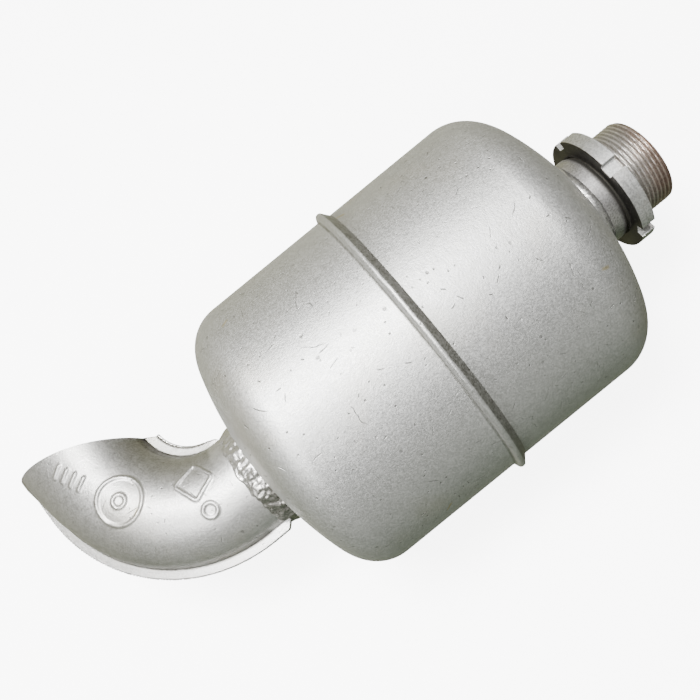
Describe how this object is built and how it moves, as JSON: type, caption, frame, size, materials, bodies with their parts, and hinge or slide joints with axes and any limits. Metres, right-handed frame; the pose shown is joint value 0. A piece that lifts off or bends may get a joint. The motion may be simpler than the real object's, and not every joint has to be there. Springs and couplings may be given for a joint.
{
  "type": "engine exhaust silencer",
  "caption": "Barrel silencer of two domed steel cups rolled together at a girth seam, with a threaded inlet spigot and ring nut at one end and a pressed elbow outlet at the other.",
  "frame": {"origin": "centre of the inlet thread's outer end", "axes": "+X along the barrel's axis, from the elbow to the inlet thread and out of it; +Y towards the elbow's mouth; +Z square with the elbow's flat joint"},
  "size_m": [0.357, 0.1636, 0.1636],
  "materials": {
    "silver_paint": "satin",
    "painted_weld": "satin",
    "bare_weld": "matte",
    "rusty_thread": "satin",
    "bare_steel": "matte"
  },
  "bodies": {
    "silencer": {"front_shell": "silver_paint", "rear_shell": "silver_paint", "middle_baffle": "bare_steel", "baffle_collar": "bare_steel", "rear_baffle": "bare_steel", "rear_baffle_tacks": "bare_weld", "threaded_spigot": "rusty_thread", "spigot_outer_weld": "painted_weld", "spigot_inner_weld": "bare_weld", "inlet_tube": "bare_steel", "inlet_tube_weld": "bare_weld", "inlet_tube_cap": "bare_steel", "inlet_cap_weld": "bare_weld", "outlet_tube": "bare_steel", "outlet_tube_weld": "bare_weld", "outlet_tube_cap": "bare_steel", "outlet_cap_weld": "bare_weld", "elbow_upper_half": "silver_paint", "elbow_lower_half": "silver_paint", "elbow_root_weld": "painted_weld", "elbow_outer_seam_weld": "painted_weld", "elbow_inner_seam_weld": "painted_weld"},
    "nut": {"ring_nut": "silver_paint"}
  },
  "joints": [
    {"name": "nut_turn", "type": "hinge", "parent": "silencer", "child": "nut", "pos_m": [-0.0242, 0, 0], "axis": [1, 0, 0], "range_deg": [-215, 3150]}
  ]
}
